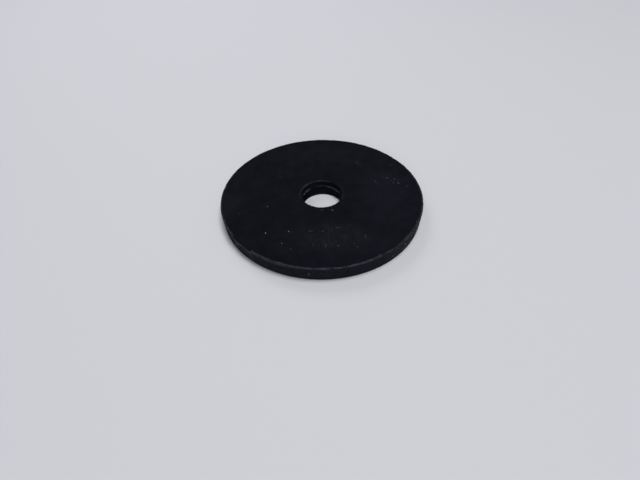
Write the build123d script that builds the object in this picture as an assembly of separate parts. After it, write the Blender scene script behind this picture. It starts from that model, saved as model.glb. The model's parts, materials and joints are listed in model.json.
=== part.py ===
from build123d import *
import os

# Flat rubber washer: one moulded disc with a centre hole.
# Millimetres. +Z is up along the hole. The origin is the centre of the face that the washer rests on.

# Driving dimensions
outer_diameter = 40.0       # across the trimmed lip at the upper edge, the widest place
thickness = 3.0
lip_overhang = 0.06         # how far the lip stands out from the rim, on the radius
lip_height = 0.32           # from the upper face down to the foot of the lip
lip_slope_height = 0.12     # height over which the lip blends into the rim
rim_draft = 0.14            # how far the rim pulls in from the lip to its lower edge, on the radius
hole_diameter = 8.0         # the straight land that a screw passes through
mouth_diameter = 8.2        # the hole's upper end, which it widens to above the land
land_height = 1.9           # from the resting face up to where the hole starts to widen
upper_edge_radius = 0.15    # rounding of the lip's upper edge
lower_edge_radius = 0.20    # rounding of the rim's lower edge
hole_edge_break = 0.06      # small bevel at both ends of the hole

outer_radius = outer_diameter / 2
upper_rim_radius = outer_radius - lip_overhang
lower_rim_radius = upper_rim_radius - rim_draft
lip_foot_height = thickness - lip_height
hole_radius = hole_diameter / 2
mouth_radius = mouth_diameter / 2


def washer_section():
    """Half section with sharp rim edges in the XZ plane: the underside, the rim, the upper face and the hole."""
    outline = Polyline(
        (hole_radius + hole_edge_break, 0),
        (lower_rim_radius, 0),
        (upper_rim_radius, lip_foot_height),
        (outer_radius, lip_foot_height + lip_slope_height),
        (outer_radius, thickness),
        (mouth_radius + hole_edge_break, thickness),
        (mouth_radius, thickness - hole_edge_break),
        (hole_radius, land_height),
        (hole_radius, hole_edge_break),
        close=True,
    )
    return make_face(Plane.XZ * outline)


def round_corner(section, corner_radius, corner_height, rounding):
    """The section with the corner nearest to a radius and a height rounded off."""
    corner = section.vertices().sort_by_distance((corner_radius, 0, corner_height))[0]
    return fillet(corner, rounding)


def washer():
    """The whole washer: its half section turned once round the hole's axis."""
    section = washer_section()
    section = round_corner(section, outer_radius, thickness, upper_edge_radius)
    section = round_corner(section, lower_rim_radius, 0, lower_edge_radius)
    return revolve(section, Axis.Z)


os.makedirs("parts", exist_ok=True)
export_step(washer(), "parts/washer.step")
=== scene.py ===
import json
import math

import bpy
from mathutils import Matrix, Vector, noise


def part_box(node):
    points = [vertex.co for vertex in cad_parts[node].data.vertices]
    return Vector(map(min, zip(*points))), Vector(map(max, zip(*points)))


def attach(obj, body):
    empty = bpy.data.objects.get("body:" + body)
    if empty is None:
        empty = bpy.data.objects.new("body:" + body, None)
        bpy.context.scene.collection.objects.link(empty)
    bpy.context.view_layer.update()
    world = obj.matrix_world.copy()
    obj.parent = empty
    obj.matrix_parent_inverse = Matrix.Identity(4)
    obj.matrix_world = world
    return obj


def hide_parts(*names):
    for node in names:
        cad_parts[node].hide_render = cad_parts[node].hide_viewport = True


# A moulded rubber washer. Everything is in metres in the CAD frame: +Z up the hole's axis, the origin on
# the axis at the resting face.
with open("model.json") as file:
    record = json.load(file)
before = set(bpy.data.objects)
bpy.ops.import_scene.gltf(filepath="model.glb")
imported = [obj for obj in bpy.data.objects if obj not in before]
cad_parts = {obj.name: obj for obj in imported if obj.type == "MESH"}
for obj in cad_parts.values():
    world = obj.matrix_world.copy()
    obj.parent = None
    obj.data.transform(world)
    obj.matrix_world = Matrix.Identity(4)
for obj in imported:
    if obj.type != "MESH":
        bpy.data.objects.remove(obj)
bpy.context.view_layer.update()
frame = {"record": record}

MM = 0.001
TURN = 2 * math.pi

# Sizes taken from the CAD node and its bore mount
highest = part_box("washer")[1]
OUTER_RADIUS = highest.x
THICKNESS = highest.z
screw_hole = next(mount for mount in frame["record"]["mounts"] if mount["name"] == "screw_hole")
HOLE_RADIUS = screw_hole["dims"]["r_mm"] * MM
LAND_TOP = screw_hole["pos_m"][2] + screw_hole["dims"]["length_mm"] * MM / 2

# The rest of the washer's section
MOUTH_RADIUS = HOLE_RADIUS + 0.10 * MM
HOLE_EDGE_BREAK = 0.05 * MM
RIM_TOP_RADIUS = OUTER_RADIUS - 0.06 * MM
RIM_FOOT_RADIUS = RIM_TOP_RADIUS - 0.14 * MM
RIM_FOOT_ROUND = 0.20 * MM
RIM_START = 1.6 * RIM_FOOT_ROUND    # height where the straight part of the rim starts
LIP_FOOT_DROP = 0.32 * MM           # from the lip's crest down to its foot, where the rim starts
LIP_UNDERSIDE = 0.10 * MM           # height of the slope from the lip's foot out to its edge
LIP_EDGE_LEAST = 0.04 * MM          # least height of the lip's upright edge
RIM_BELOW_BEVEL = 0.15 * MM         # the rim ends at least this far below the lip's bevel
CREST_SLOPE = 0.12 * MM             # width of the slope from the lip's crest in to the upper face
CREST_TO_FACE = 0.25 * MM           # the upper face starts this far in from the lip's crest
FACE_HEIGHT = THICKNESS - 0.04 * MM     # the upper face lies a little below the lip's crest
FACE_END = MOUTH_RADIUS + 3 * HOLE_EDGE_BREAK       # radius where the upper face ends at the hole
UPPER_WALL_FOOT = (HOLE_RADIUS + 0.01 * MM, LAND_TOP + 0.06 * MM)

# How finely the skin is cut
SEGMENTS = 720
LOWER_FACE_STEPS = 20
UPPER_FACE_STEPS = 48
RIM_STEPS = 10
UPPER_WALL_STEPS = 5
LOWER_WALL_STEPS = 7
ROUND_STEPS = 4

# How pale each surface is, from wear and, on the lip, flash, mouth and rim, partly from painted light: 0
# like the faces, 1 as pale as a worn edge
# The rim's paleness is partly a cut finish and partly painted light, which lifts it to the brightness of the
# upper face
RIM_WEAR_AND_PAINTED_LIGHT = 0.22
# The lip's paleness is partly worn rubber and partly a painted highlight along its edge
LIP_WEAR_AND_HIGHLIGHT = 0.60
LIP_LEAST_WEAR_AND_HIGHLIGHT = 0.15
FOOT_WEAR = 0.35
MOUTH_WEAR = 0.08
UPPER_WALL_WEAR = 0.05
LOWER_WALL_WEAR = 0.07


# ---------------------------------------------------------------- uneven shapes

def ripple(angle, bumps, seed):
    """Smooth noise from about -1 to 1 round the washer that meets itself, with so many bumps in a turn."""
    reach = bumps / TURN
    return noise.noise(Vector((math.cos(angle) * reach, math.sin(angle) * reach, seed)))


def wavy(angle, middle, *ripples):
    """A value that wanders round a middle one, by ripples with a height, bumps in a turn and a seed each."""
    return middle + sum(height * ripple(angle, bumps, seed) for height, bumps, seed in ripples)


def window(angle, start_deg, end_deg, start_blend_deg, end_blend_deg):
    """1 between two angles and 0 outside them, with a blend at each end."""
    degrees = math.degrees(angle)
    rise = min(max((degrees - start_deg) / start_blend_deg, 0), 1)
    fall = min(max((end_deg - degrees) / end_blend_deg, 0), 1)
    return min(rise, fall)


# The lip's bevel: its usual width, drop and inset, all in mm
LIP_WIDTH = 0.24
LIP_DROP = 0.17
LIP_INSET = 0.015
LIP_LEAST_WIDTH = 0.12
LIP_LEAST_DROP = 0.06
# Stretches of the lip that differ from the rest: where, as for a window, then what is added to the bevel's
# width and drop in mm and to its paleness from wear and painted highlight. The trimmed stretch lost a
# deeper, wavy slice to the knife, and its paleness above 1 is a painted highlight; the rough one is torn.
STRETCHES = {
    "trimmed": ((-149, -128.5, 5.0, 0.6), 0.05, 0.34, 1.20),
    "rough": ((-48, -20, 6.0, 6.0), 0.08, 0.0, 0.0),
    "broad": ((-76, -50, 5.0, 6.0), 0.12, -0.04, -0.10),
    "low": ((-129, -102, 1.0, 10.0), -0.06, 0.34, 0.0),
    "pale": ((-168, -149, 4.0, 2.0), -0.07, 0.0, 0.50),
}
# The wave in the trimmed stretch: its length, one of its deepest places and its height in mm
TRIM_WAVE_DEG = 11.5
TRIM_DEEPEST_DEG = -141
TRIM_WAVE_DROP = 0.18
# How much of the trimmed bevel's paleness, a painted highlight, falls on its edge below, and how fast it
# fades out upwards
TRIM_EDGE_HIGHLIGHT = 0.15
TRIM_FADE = 2.0
# The pale upright end of the trimmed stretch
TRIM_END = (-130.3, -128.6, 0.6, 0.3)
TRIM_END_WEAR = 0.5
# How far the rough stretch's bevel wanders in width and drop, in mm
ROUGH_WIDTH = 0.40
ROUGH_DROP = 0.12
# The share by which the rim is less pale below the trimmed stretch and paler below the rough one
RIM_WEAR_CHANGE = 0.2
# Small nicks in the lip: degrees, half width in degrees, depth
NICKS = [
    (-111.5, 0.7, 0.10 * MM),
    (-59.5, 0.5, 0.12 * MM),
    (-84.0, 0.4, 0.05 * MM),
    (37.0, 0.8, 0.08 * MM),
    (84.0, 1.2, 0.07 * MM),
    (141.0, 0.6, 0.08 * MM),
    (172.0, 1.0, 0.06 * MM),
    (-8.0, 0.7, 0.08 * MM),
    (-158.0, 0.6, 0.09 * MM),
]


def nick_depth(angle):
    """How deep the lip is nicked at an angle."""
    degrees = math.degrees(angle)
    return sum(depth * math.exp(-((degrees - at) / half) ** 2) for at, half, depth in NICKS)


def lip_at(angle):
    """The lip at an angle: its bevel's width, drop and inset, and how pale the lip and the rim are from wear
    and painted light.
    """
    width = wavy(angle, LIP_WIDTH, (0.08, 16, 3.1), (0.09, 90, 7.7))
    drop = wavy(angle, LIP_DROP, (0.06, 22, 5.3), (0.06, 120, 2.2))
    wear_and_highlight = wavy(angle, LIP_WEAR_AND_HIGHLIGHT, (0.45, 12, 6.2), (0.28, 110, 9.9))
    shares = {}
    for name, (stretch, more_width, more_drop, more_wear_and_highlight) in STRETCHES.items():
        shares[name] = window(angle, *stretch)
        width += more_width * shares[name]
        drop += more_drop * shares[name]
        wear_and_highlight += more_wear_and_highlight * shares[name]
    trimmed = shares["trimmed"]
    rough = shares["rough"]
    wave = math.cos(TURN * (math.degrees(angle) - TRIM_DEEPEST_DEG) / TRIM_WAVE_DEG)
    drop += TRIM_WAVE_DROP * wave * trimmed + ROUGH_DROP * ripple(angle, 300, 8.4) * rough
    width += ROUGH_WIDTH * abs(ripple(angle, 200, 1.9)) * rough
    inset = LIP_INSET + 0.025 * abs(ripple(angle, 60, 4.6))
    nick = nick_depth(angle)
    # the rim's paleness: a cut finish with painted light on it
    rim_wear_and_painted_light = RIM_WEAR_AND_PAINTED_LIGHT * (1 + RIM_WEAR_CHANGE * (rough - trimmed))
    return {
        "width": max(width, LIP_LEAST_WIDTH) * MM + nick,
        "drop": max(drop, LIP_LEAST_DROP) * MM + 0.5 * nick,
        "inset": inset * MM + 0.5 * nick,
        "wear_and_highlight": min(max(wear_and_highlight, LIP_LEAST_WEAR_AND_HIGHLIGHT), 1.0 + trimmed),
        "trimmed": trimmed,
        "rim_wear_and_painted_light": rim_wear_and_painted_light + TRIM_END_WEAR * window(angle, *TRIM_END),
    }


# The flash on the hole's parting line: how far it usually reaches inwards, and how bright the highlight
# painted on it is
FLASH_REACH = 0.04 * MM
FLASH_HIGHLIGHT = 0.15
# Where it is long and carries a brighter painted highlight: the stretch as for a window, its extra reach,
# its extra painted highlight
LONG_FLASH = [
    ((24, 80, 6.0, 14.0), 0.20 * MM, 1.6),
    ((68, 110, 8.0, 12.0), 0.05 * MM, 0.4),
    ((124, 166, 6.0, 6.0), 0.34 * MM, 1.0),
    ((-110, -60, 14.0, 14.0), 0.10 * MM, 0.6),
]
# The outline of the flash from the top down: share of its reach, drop in mm, share of its painted highlight
FLASH_OUTLINE = [
    (0.0, 0.0, 0.2),
    (0.6, 0.005, 1.0),
    (1.0, 0.03, 1.0),
    (1.0, 0.07, 1.0),
    (0.5, 0.10, 0.4),
]
FLASH_FOOT = 0.16 * MM          # from the top of the land down to the wall below the flash
LAND_START = 0.30 * MM          # from the top of the land down to where the plain wall starts
# The web of flash at the foot of the hole: its least and most width, where it is widest, and the fillet
# above it as shares of its width inwards and upwards, with the wear at each point
WEB_LEAST = 0.10 * MM
WEB_MOST = 0.55 * MM
WEB_MIDDLE_DEG = 110
WEB_THICKNESS = 0.12 * MM
WEB_FILLET = [
    (0.0, 0.60, LOWER_WALL_WEAR),
    (0.15, 0.25, 0.0),
    (0.4, 0.06, 0.0),
    (0.9, 0.0, 0.1),
]
WEB_TIP_WEAR = 0.2
# A painted glint: the mouth of the hole is painted paler over this stretch, by this much
MOUTH_GLINT_STRETCH = (60, 190, 20, 20)
PAINTED_MOUTH_GLINT = 0.30


def flash_at(angle):
    """How far the flash on the hole's parting line stands inwards at an angle, and how bright the highlight
    painted on it is.
    """
    ragged = max(wavy(angle, 1, (0.5, 34, 12.8), (0.4, 90, 13.9)), 0.3)
    reach = FLASH_REACH * ragged
    highlight = FLASH_HIGHLIGHT * ragged
    for stretch, extra_reach, extra_highlight in LONG_FLASH:
        share = window(angle, *stretch)
        reach += extra_reach * share
        highlight += extra_highlight * share * ragged
    return reach, min(highlight, 1)


def web_at(angle):
    """How far the web of flash at the foot of the hole stands inwards at an angle."""
    nearness = max(math.cos(angle - math.radians(WEB_MIDDLE_DEG)), 0)
    ragged = 0.03 * MM * ripple(angle, 40, 18.6)
    return WEB_LEAST + (WEB_MOST - WEB_LEAST) * nearness + ragged


# ---------------------------------------------------------------- the washer's section

def straight(start, end, steps, wear_and_highlight):
    """Points from start up to, but not including, end, as (radius, height, paleness from wear and painted
    light).
    """
    return [
        (
            start[0] + (end[0] - start[0]) * i / steps,
            start[1] + (end[1] - start[1]) * i / steps,
            wear_and_highlight,
        )
        for i in range(steps)
    ]


def rounded(centre, radii, start_deg, end_deg, wear_and_highlight):
    """Points along a quarter of an ellipse, including both ends, as (radius, height, paleness from wear and
    painted light).
    """
    points = []
    for i in range(ROUND_STEPS + 1):
        turn = math.radians(start_deg + (end_deg - start_deg) * i / ROUND_STEPS)
        points.append((centre[0] + radii[0] * math.cos(turn), centre[1] + radii[1] * math.sin(turn), wear_and_highlight))
    return points


def lower_face(angle):
    """The resting face and the rounding at its outer edge."""
    inner = HOLE_RADIUS - web_at(angle) + WEB_THICKNESS
    outer = RIM_FOOT_RADIUS - RIM_FOOT_ROUND
    wear_and_highlight = max(wavy(angle, FOOT_WEAR, (0.4, 40, 14.2)), 0)
    face = straight((inner, 0), (outer, 0), LOWER_FACE_STEPS, 0.0)
    edge = rounded((outer, RIM_FOOT_ROUND), (RIM_FOOT_ROUND, RIM_FOOT_ROUND), -90, 0, wear_and_highlight)
    return face + edge


def rim(lip):
    """The rim from above its foot to the underside of the lip."""
    foot = (RIM_FOOT_RADIUS, RIM_START)
    top = (RIM_TOP_RADIUS, THICKNESS - max(LIP_FOOT_DROP, lip["drop"] + RIM_BELOW_BEVEL))
    return straight(foot, top, RIM_STEPS, lip["rim_wear_and_painted_light"]) + [(*top, lip["rim_wear_and_painted_light"])]


def lip_edge(lip):
    """The lip: a short upright edge, then a bevel up to its crest. Where trimmed, only its foot is pale,
    with a painted highlight there.
    """
    edge_radius = OUTER_RADIUS - lip["inset"]
    crest_radius = edge_radius - lip["width"]
    bevel_foot = THICKNESS - lip["drop"]
    edge_foot = min(THICKNESS - LIP_FOOT_DROP + LIP_UNDERSIDE, bevel_foot - LIP_EDGE_LEAST)
    edge_paleness = lip["rim_wear_and_painted_light"] + TRIM_EDGE_HIGHLIGHT * lip["trimmed"] * lip["wear_and_highlight"]
    bevel = rounded((crest_radius, bevel_foot), (lip["width"], lip["drop"]), 0, 90, lip["wear_and_highlight"])
    bevel = [
        (radius, height, wear_and_highlight * (1 - lip["trimmed"] * min(TRIM_FADE * i / ROUND_STEPS, 1)))
        for i, (radius, height, wear_and_highlight) in enumerate(bevel)
    ]
    return [(edge_radius, edge_foot, edge_paleness)] + bevel + [(crest_radius - CREST_SLOPE, FACE_HEIGHT, 0.0)]


def upper_face(lip):
    """The upper face, from inside the lip to the mouth of the hole."""
    outer = OUTER_RADIUS - lip["inset"] - lip["width"] - CREST_TO_FACE
    return straight((outer, FACE_HEIGHT), (FACE_END, FACE_HEIGHT), UPPER_FACE_STEPS, 0.0)


def upper_wall(angle):
    """The rounded mouth of the hole, and the wall that narrows down to just above the flash."""
    edge = HOLE_EDGE_BREAK * wavy(angle, 1.0, (0.5, 18, 15.5))
    # the mouth's paleness, with a painted glint over part of it
    wear_and_highlight = wavy(angle, MOUTH_WEAR + PAINTED_MOUTH_GLINT * window(angle, *MOUTH_GLINT_STRETCH), (0.5, 14, 16.1))
    centre = (MOUTH_RADIUS + edge, FACE_HEIGHT - edge)
    mouth = rounded(centre, (-edge, edge), 90, 0, min(max(wear_and_highlight, 0), 1))
    start = (MOUTH_RADIUS, FACE_HEIGHT - 1.4 * edge)
    return mouth + straight(start, UPPER_WALL_FOOT, UPPER_WALL_STEPS, UPPER_WALL_WEAR)


def parting_flash(angle):
    """The flash on the hole's parting line, down to the wall below it."""
    reach, highlight = flash_at(angle)
    flash = [
        (HOLE_RADIUS - inwards * reach, LAND_TOP - drop * MM, share * highlight)
        for inwards, drop, share in FLASH_OUTLINE
    ]
    return flash + [(HOLE_RADIUS, LAND_TOP - FLASH_FOOT, LOWER_WALL_WEAR)]


def lower_wall(angle):
    """The straight land below the flash, and the web of flash at its foot."""
    web = web_at(angle)
    web_root = WEB_THICKNESS + WEB_FILLET[0][1] * web
    land_top = (HOLE_RADIUS, LAND_TOP - LAND_START)
    land = straight(land_top, (HOLE_RADIUS, web_root), LOWER_WALL_STEPS, LOWER_WALL_WEAR)
    fillet = [
        (HOLE_RADIUS - inwards * web, WEB_THICKNESS + upwards * web, wear_and_highlight)
        for inwards, upwards, wear_and_highlight in WEB_FILLET
    ]
    tip = [
        (HOLE_RADIUS - web, 0.6 * WEB_THICKNESS, WEB_TIP_WEAR),
        (HOLE_RADIUS - web + 0.3 * WEB_THICKNESS, 0.2 * WEB_THICKNESS, WEB_TIP_WEAR),
    ]
    return land + fillet + tip


def section_at(angle):
    """The outline of one cut through the washer, as (radius, height, paleness from wear and painted light),
    from the foot of the hole.
    """
    lip = lip_at(angle)
    outside = lower_face(angle) + rim(lip) + lip_edge(lip) + upper_face(lip)
    return outside + upper_wall(angle) + parting_flash(angle) + lower_wall(angle)


# ---------------------------------------------------------------- the mesh

# The waviness of moulded rubber: the width of its bumps, their depth, and a shift that picks the pattern
WAVINESS = [
    (4.0 * MM, 0.010 * MM, Vector((0.0, 0.0, 0.0))),
    (0.9 * MM, 0.006 * MM, Vector((31.0, 17.0, 5.0))),
]
# The faces, as against the hole's and the rim's edges, lie between these radii
FACE_FROM = HOLE_RADIUS + 0.5 * MM
FACE_TO = OUTER_RADIUS - 0.9 * MM


def unevenness(place):
    """How far the waviness of the rubber takes the skin in at a point."""
    return abs(sum(depth * noise.noise(place / width + shift) for width, depth, shift in WAVINESS))


def skin_point(angle, radius, height):
    """A point of the skin, where the waviness goes into the rubber and never past its section."""
    outwards = Vector((math.cos(angle), math.sin(angle), 0))
    place = outwards * radius + Vector((0, 0, height))
    depth = unevenness(place)
    on_face = FACE_FROM < radius < FACE_TO
    if on_face and height > THICKNESS / 2:
        place.z -= depth
    elif on_face:
        place.z += 0.5 * depth
    elif radius > OUTER_RADIUS / 2:
        place -= outwards * depth
    else:
        place += outwards * depth
    return place


def make_washer():
    """The washer's closed skin, one cut after another round the axis, with the paleness from wear and
    painted light kept at each point.
    """
    points, wear_and_highlight, faces = [], [], []
    for segment in range(SEGMENTS):
        angle = TURN * segment / SEGMENTS - math.pi
        for radius, height, worn_and_highlit in section_at(angle):
            points.append(skin_point(angle, radius, height))
            wear_and_highlight.append(worn_and_highlit)
    around = len(points) // SEGMENTS
    for segment in range(SEGMENTS):
        here = segment * around
        there = (segment + 1) % SEGMENTS * around
        for i in range(around):
            after = (i + 1) % around
            faces.append((here + i, there + i, there + after, here + after))
    mesh = bpy.data.meshes.new("washer_moulding")
    mesh.from_pydata(points, [], faces)
    mesh.polygons.foreach_set("use_smooth", [True] * len(mesh.polygons))
    mesh.attributes.new("wear_and_highlight", "FLOAT", "POINT").data.foreach_set("value", wear_and_highlight)
    mesh.update()
    piece = bpy.data.objects.new("washer_moulding", mesh)
    bpy.context.scene.collection.objects.link(piece)
    return piece


# ---------------------------------------------------------------- the rubber

# All the marks below are in mm and degrees.
# Scuffs on the upper face: x, y, direction, length, width, strength
SCUFFS = [
    (13.6, 4.9, 0, 1.00, 0.24, 0.8),
    (11.1, 3.7, 80, 0.90, 0.30, 0.35),
    (15.1, 4.4, 50, 0.70, 0.26, 0.7),
    (15.7, 3.1, 115, 0.80, 0.34, 0.8),
    (14.7, 3.2, 30, 0.55, 0.28, 0.6),
    (15.8, 4.1, 100, 0.40, 0.26, 0.5),
    (17.4, 2.1, 30, 0.90, 0.60, 0.15),
    (11.7, 3.1, 20, 0.60, 0.22, 0.2),
    (7.7, 10.6, 85, 0.90, 0.45, 0.12),
    (14.9, 9.3, 10, 1.20, 0.33, 0.12),
    (-2.1, -10.7, 0, 1.30, 0.26, 0.40),
    (0.1, -10.7, 40, 0.90, 0.28, 0.40),
    (2.9, -9.9, 5, 1.30, 0.24, 0.35),
    (7.7, -12.3, 90, 0.80, 0.30, 0.35),
    (-5.5, -10.9, 90, 0.90, 0.24, 0.20),
    (-1.6, -14.2, 90, 1.40, 0.34, 0.18),
    (0.5, -14.4, 90, 1.60, 0.34, 0.22),
    (5.6, -14.0, 90, 1.20, 0.34, 0.16),
    (-5.6, -15.1, 45, 0.80, 0.40, 0.15),
    (2.0, -5.0, 150, 0.60, 0.34, 0.9),
    (0.0, -4.9, 0, 0.80, 0.20, 0.6),
    (-4.6, 0.0, 60, 0.60, 0.18, 0.5),
    (-15.7, -5.6, 100, 0.67, 0.27, 0.3),
    (-8.5, 5.9, 20, 0.67, 0.27, 0.25),
]
# Specks of dust on the upper face: x, y, radius, brightness
DUST = [
    (-10.3, -11.0, 0.14, 1.0),
    (-6.1, -10.7, 0.12, 0.7),
    (-7.2, -13.7, 0.10, 0.6),
    (-10.5, -3.6, 0.13, 0.45),
    (2.7, -14.5, 0.12, 0.25),
    (6.1, -14.8, 0.12, 0.25),
]
# Specks on the rim: degrees round from +X, height, radius, brightness
RIM_SPECKS = [
    (-97, 1.5, 0.20, 0.30),
    (-118, 0.3, 0.16, 0.50),
    (-141, 1.75, 0.20, 0.80),
    (-51.5, 1.0, 0.13, 0.50),
    (-48.5, 2.5, 0.12, 0.50),
    (-41.5, 1.8, 0.18, 0.80),
    (-31, 1.6, 0.14, 0.30),
    (-27, 2.4, 0.14, 0.50),
    (52, 1.4, 0.18, 0.30),
    (133, 1.9, 0.15, 0.40),
    (-170, 0.9, 0.16, 0.30),
]
# Where the rim and the lip are speckled: degrees round from +X, length, strength. Then the height of the
# middle of these areas, and their size across the rim and up it in metres.
SPECKLED = [
    (-27, 6.0, 1.0),
    (-38, 6.0, 1.0),
    (-51, 6.0, 0.55),
    (-134, 5.0, 0.35),
    (-143, 5.0, 0.35),
]
SPECKLED_HEIGHT = 1.5
SPECKLED_ACROSS = (1.6 * MM, 3.6 * MM)
# Patches of painted sheen, where the upper face is painted lighter everywhere but left of the hole: as for
# the scuffs
SHEEN_PATCHES = [
    (13.0, 0.0, 0, 20.0, 36.0, 0.85),
    (3.0, -13.0, 0, 34.0, 15.0, 0.85),
    (2.0, 14.0, 0, 34.0, 13.0, 0.60),
    (-18.0, -3.0, 0, 8.0, 18.0, 0.6),
]
# Smudged patches of the upper face: as for the scuffs
SMUDGES = [
    (2.0, -12.0, 0, 17.0, 9.0, 1.0),
    (14.0, 4.5, 0, 9.0, 7.0, 0.7),
    (7.5, 10.5, 0, 6.0, 6.0, 0.5),
    (-8.0, 7.0, 0, 7.0, 6.0, 0.3),
]
# How tall the small marks and the patches are where they cross the upper face: low enough to stay off most
# of the rim and of the wall of the hole
MARK_DEPTH = 0.6 * MM
PATCH_DEPTH = 1.0 * MM

# The rubber's colours, from clean rubber to dust, with a painted sheen and a painted highlight among them
CLEAN = (0.0008, 0.0014, 0.0028, 1)
CLOUDY = (0.0032, 0.0036, 0.0074, 1)
# painted sheen: the lighter colour of the patches where light glances off the upper face
PAINTED_SHEEN = (0.0062, 0.0068, 0.0115, 1)
SMEARED = (0.0118, 0.0122, 0.0145, 1)
STREAKED = (0.0140, 0.0138, 0.0145, 1)
GRAINY = (0.0075, 0.0083, 0.0115, 1)
# worn rubber and painted highlight: the pale colour of worn edges and of the light painted on the lip,
# flash, mouth and rim
WORN_AND_HIGHLIT = (0.046, 0.048, 0.062, 1)
# painted highlight: the bright colour where the paleness goes above 1, at the foot of the trimmed bevel
PAINTED_HIGHLIGHT = (0.130, 0.133, 0.160, 1)
PITTED = (0.0020, 0.0024, 0.0045, 1)
FLECKED = (0.125, 0.128, 0.155, 1)
SCUFFED = (0.100, 0.103, 0.115, 1)
DUSTY = (0.35, 0.35, 0.36, 1)
RUBBER_SPECULAR = 0.05


class Shader:
    """A material being built, with short calls for the nodes that it needs."""

    def __init__(self, name):
        self.material = bpy.data.materials.new(name)
        self.material.use_nodes = True
        self.tree = self.material.node_tree
        self.surface = self.tree.nodes["Principled BSDF"]
        self.place = self.node("ShaderNodeTexCoord").outputs["Object"]

    def node(self, kind, **settings):
        """A new node with its own settings."""
        made = self.tree.nodes.new(kind)
        for name, value in settings.items():
            setattr(made, name, value)
        return made

    def feed(self, socket, value):
        """Links an output to a socket, or sets the socket to a plain value."""
        if isinstance(value, bpy.types.NodeSocket):
            self.tree.links.new(value, socket)
        else:
            socket.default_value = value

    def math(self, operation, first, second, clamp=False):
        """A Math node's result."""
        made = self.node("ShaderNodeMath", operation=operation, use_clamp=clamp)
        self.feed(made.inputs[0], first)
        self.feed(made.inputs[1], second)
        return made.outputs[0]

    def times(self, first, second):
        """One value times another."""
        return self.math("MULTIPLY", first, second)

    def ramp(self, value, low, high):
        """0 where value is at or below low and 1 where it is at or above high, smooth between them."""
        made = self.node("ShaderNodeMapRange", interpolation_type="SMOOTHSTEP")
        self.feed(made.inputs["Value"], value)
        self.feed(made.inputs["From Min"], low)
        self.feed(made.inputs["From Max"], high)
        return made.outputs["Result"]

    def moved(self, offset, turn_deg, stretch):
        """The object's coordinates, shifted to a place, turned there and divided by a size on each axis."""
        made = self.node("ShaderNodeMapping", vector_type="TEXTURE")
        self.feed(made.inputs["Vector"], self.place)
        made.inputs["Location"].default_value = offset
        made.inputs["Rotation"].default_value = (0, 0, math.radians(turn_deg))
        made.inputs["Scale"].default_value = stretch
        return made.outputs["Vector"]

    def noise(self, size, detail=2.0, rough=0.5, stretch=(1, 1, 1), shift=0.0):
        """Cloudy noise from 0 to 1 with features of a size in metres, where a shift picks the pattern."""
        made = self.node("ShaderNodeTexNoise")
        coordinates = self.moved((shift, shift, shift), 0, [size * part for part in stretch])
        self.feed(made.inputs["Vector"], coordinates)
        made.inputs["Scale"].default_value = 1.0
        made.inputs["Detail"].default_value = detail
        made.inputs["Roughness"].default_value = rough
        return made.outputs["Fac"]

    def spot(self, centre, turn_deg, size, heart):
        """1 in the heart of an egg-shaped mark of a size on each axis, falling to 0 at its edge."""
        ball = self.node("ShaderNodeTexGradient", gradient_type="SPHERICAL")
        self.feed(ball.inputs["Vector"], self.moved(centre, turn_deg, [part / 2 for part in size]))
        return self.ramp(ball.outputs["Fac"], 0.0, 1.0 - heart)

    def spots(self, marks, heart=0.35):
        """The strongest of several marks at each point: rows of centre, direction, size and strength."""
        total = 0.0
        for centre, turn_deg, size, strength in marks:
            mark = self.times(self.spot(centre, turn_deg, size, heart), strength)
            total = self.math("MAXIMUM", total, mark)
        return total

    def mix(self, share, first, second):
        """A colour between two others."""
        made = self.node("ShaderNodeMix", data_type="RGBA")
        self.feed(made.inputs["Factor"], share)
        self.feed(made.inputs["A"], first)
        self.feed(made.inputs["B"], second)
        return made.outputs["Result"]

    def bump(self, height, distance, strength, below=None):
        """A bump, on top of another one if there is one below."""
        made = self.node("ShaderNodeBump")
        made.inputs["Strength"].default_value = strength
        made.inputs["Distance"].default_value = distance
        self.feed(made.inputs["Height"], height)
        if below is not None:
            self.feed(made.inputs["Normal"], below)
        return made.outputs["Normal"]


def on_face(rows, depth):
    """Marks on the upper face, from rows of x, y, direction, length, width and strength in mm."""
    return [
        ((x * MM, y * MM, THICKNESS), turn_deg, (length * MM, width * MM, depth), strength)
        for x, y, turn_deg, length, width, strength in rows
    ]


def on_rim(degrees, height):
    """A place on the rim, at a height in mm."""
    turn = math.radians(degrees)
    reach = (RIM_FOOT_RADIUS + RIM_TOP_RADIUS) / 2
    return (reach * math.cos(turn), reach * math.sin(turn), height * MM)


def scuff_marks(shader):
    """The scuffs on the upper face, broken up by fine noise."""
    grit = shader.ramp(shader.noise(0.12 * MM, detail=3), 0.28, 0.56)
    return shader.times(shader.spots(on_face(SCUFFS, MARK_DEPTH)), grit)


def dust_marks(shader):
    """The specks of dust on the upper face and on the rim."""
    rows = [(x, y, 0, 2 * radius, 2 * radius, brightness) for x, y, radius, brightness in DUST]
    specks = on_face(rows, MARK_DEPTH)
    for degrees, height, radius, brightness in RIM_SPECKS:
        specks.append((on_rim(degrees, height), 0, [2 * radius * MM] * 3, brightness))
    return shader.spots(specks)


def speckled_area(shader):
    """Where the rim and the lip are speckled."""
    areas = [
        (on_rim(degrees, SPECKLED_HEIGHT), degrees + 90, (length * MM, *SPECKLED_ACROSS), strength)
        for degrees, length, strength in SPECKLED
    ]
    return shader.spots(areas, heart=0.5)


def wear_and_highlight_share(shader):
    """How pale the rubber is from wear and painted light: the value kept at each point of the skin, broken
    up by noise.
    """
    kept = shader.node("ShaderNodeAttribute", attribute_name="wear_and_highlight").outputs["Fac"]
    rubbed = shader.ramp(shader.noise(0.45 * MM, detail=4, rough=0.7), 0.30, 0.56)
    return shader.times(kept, rubbed)


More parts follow.
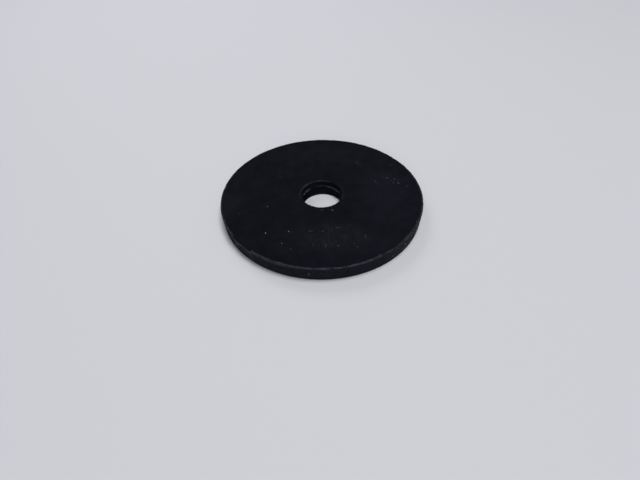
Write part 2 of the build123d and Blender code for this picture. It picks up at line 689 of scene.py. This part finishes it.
def face_colour(shader, smears, grain):
    """Near-black rubber with a cloudy tone, patches of painted sheen, smears, streaks and grain."""
    clouds = shader.ramp(shader.noise(3.0 * MM, detail=4, rough=0.6, shift=0.021), 0.34, 0.66)
    colour = shader.mix(clouds, CLEAN, CLOUDY)
    haze = shader.math("ADD", 0.65, shader.times(clouds, 0.45))
    # painted sheen over the patches, broken up by the clouds
    sheen = shader.times(haze, shader.spots(on_face(SHEEN_PATCHES, PATCH_DEPTH), heart=0.1))
    colour = shader.mix(sheen, colour, PAINTED_SHEEN)
    smudged = shader.spots(on_face(SMUDGES, PATCH_DEPTH), heart=0.2)
    smeared = shader.math("ADD", 0.22, shader.times(smudged, 0.70))
    colour = shader.mix(shader.times(smears, smeared), colour, SMEARED)
    streaks = shader.ramp(shader.noise(1.6 * MM, stretch=(0.30, 1, 1), shift=0.059), 0.50, 0.78)
    colour = shader.mix(shader.times(streaks, smudged), colour, STREAKED)
    return shader.mix(shader.times(grain, 0.25), colour, GRAINY)


def marked_colour(shader, colour, worn_and_highlit):
    """A colour with edges paled by wear and painted highlight, speckles, scuffs and dust over it."""
    # paler where worn and where light is painted on
    colour = shader.mix(worn_and_highlit, colour, WORN_AND_HIGHLIT)
    # painted highlight where the paleness goes above 1
    colour = shader.mix(shader.ramp(worn_and_highlit, 0.9, 1.8), colour, PAINTED_HIGHLIGHT)
    speckled = speckled_area(shader)
    pits = shader.ramp(shader.noise(0.30 * MM, detail=1, shift=0.013), 0.56, 0.64)
    flecks = shader.ramp(shader.noise(0.26 * MM, detail=1, shift=0.033), 0.60, 0.68)
    colour = shader.mix(shader.times(pits, speckled), colour, PITTED)
    colour = shader.mix(shader.times(flecks, speckled), colour, FLECKED)
    colour = shader.mix(scuff_marks(shader), colour, SCUFFED)
    return shader.mix(dust_marks(shader), colour, DUSTY)


def moulded_rubber():
    """Matt black rubber with painted sheen, scuffs, dust and pale edges, partly worn and partly painted
    highlight.
    """
    shader = Shader("moulded_rubber")
    smears = shader.ramp(shader.noise(1.4 * MM, detail=4, rough=0.6, shift=0.047), 0.48, 0.72)
    grain = shader.noise(0.16 * MM, detail=3, rough=0.6)
    worn_and_highlit = wear_and_highlight_share(shader)
    colour = marked_colour(shader, face_colour(shader, smears, grain), worn_and_highlit)
    shader.feed(shader.surface.inputs["Base Color"], colour)

    roughness = shader.math("ADD", 0.68, shader.times(grain, 0.12))
    roughness = shader.math("ADD", roughness, shader.times(smears, 0.10))
    roughness = shader.math("ADD", roughness, shader.times(worn_and_highlit, 0.15), clamp=True)
    shader.feed(shader.surface.inputs["Roughness"], roughness)
    shader.surface.inputs["Specular IOR Level"].default_value = RUBBER_SPECULAR

    ripples = shader.bump(shader.noise(0.9 * MM, detail=3), 0.02 * MM, 0.6)
    pores = shader.bump(grain, 0.012 * MM, 0.7, ripples)
    shader.feed(shader.surface.inputs["Normal"], pores)
    return shader.material


# ---------------------------------------------------------------- floor, light and camera

# Where the photograph was taken from: how steeply the camera looks at the washer and from how far, and how
# far its aim is below and beside the washer
VIEW_ELEVATION_DEG = 40.3
VIEW_DISTANCE = 4.374 * OUTER_RADIUS
AIM_BELOW_DEG = 4.67
AIM_SIDE_DEG = 0.25
ROLL_DEG = -0.95
LENS = 24.0
SENSOR = 36.0

FLOOR_HALF_WIDTH = 40 * OUTER_RADIUS
FLOOR_COLOUR = (0.600, 0.608, 0.650, 1)
FLOOR_ROUGHNESS = 0.75
SURROUNDINGS_COLOUR = (0.93, 0.96, 1.0, 1)
SURROUNDINGS_STRENGTH = 0.16
# The soft lights: name, place, size, power, colour
SOFTBOXES = [
    ("key", (0.15, -0.02, 0.87), 0.36, 5.4, (1.0, 0.99, 0.98)),
    ("front", (-0.08, -0.84, 0.48), 0.40, 2.1, (1.0, 0.99, 0.98)),
    ("back", (-0.12, 0.24, 0.24), 0.15, 0.24, (0.97, 0.98, 1.0)),
]


def add_camera():
    """The camera in front of the washer, looking down at it."""
    camera = bpy.data.objects.new("camera", bpy.data.cameras.new("camera"))
    camera.data.lens = LENS
    camera.data.sensor_width = SENSOR
    camera.data.clip_start = 1 * MM
    elevation = math.radians(VIEW_ELEVATION_DEG)
    position = Vector((0, -math.cos(elevation), math.sin(elevation))) * VIEW_DISTANCE
    looking = (-position).to_track_quat("-Z", "Y").to_matrix().to_4x4()
    roll = Matrix.Rotation(math.radians(ROLL_DEG), 4, "Z")
    side = Matrix.Rotation(math.radians(AIM_SIDE_DEG), 4, "Y")
    below = Matrix.Rotation(-math.radians(AIM_BELOW_DEG), 4, "X")
    camera.matrix_world = Matrix.Translation(position) @ looking @ roll @ side @ below
    bpy.context.scene.collection.objects.link(camera)
    bpy.context.scene.camera = camera


def add_floor():
    """A plain pale floor under the washer."""
    half = FLOOR_HALF_WIDTH
    corners = [(-half, -half, 0), (half, -half, 0), (half, half, 0), (-half, half, 0)]
    mesh = bpy.data.meshes.new("floor")
    mesh.from_pydata(corners, [], [(0, 1, 2, 3)])
    floor = bpy.data.objects.new("floor", mesh)
    bpy.context.scene.collection.objects.link(floor)
    shader = Shader("pale_floor")
    shader.surface.inputs["Base Color"].default_value = FLOOR_COLOUR
    shader.surface.inputs["Roughness"].default_value = FLOOR_ROUGHNESS
    mesh.materials.append(shader.material)


def add_softbox(name, place, size, power, colour):
    """A square soft light at a place, facing the washer."""
    lamp = bpy.data.lights.new(name, "AREA")
    lamp.size = size
    lamp.energy = power
    lamp.color = colour
    light = bpy.data.objects.new(name, lamp)
    light.location = place
    light.rotation_euler = (-Vector(place)).to_track_quat("-Z", "Y").to_euler()
    bpy.context.scene.collection.objects.link(light)


def add_surroundings():
    """Even light from all round."""
    world = bpy.data.worlds.new("studio")
    world.use_nodes = True
    background = world.node_tree.nodes["Background"]
    background.inputs["Color"].default_value = SURROUNDINGS_COLOUR
    background.inputs["Strength"].default_value = SURROUNDINGS_STRENGTH
    bpy.context.scene.world = world


washer = make_washer()
washer.data.materials.append(moulded_rubber())
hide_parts("washer")
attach(washer, "root")

add_camera()
add_floor()
add_surroundings()
for softbox in SOFTBOXES:
    add_softbox(*softbox)
bpy.context.scene.view_settings.view_transform = "Standard"
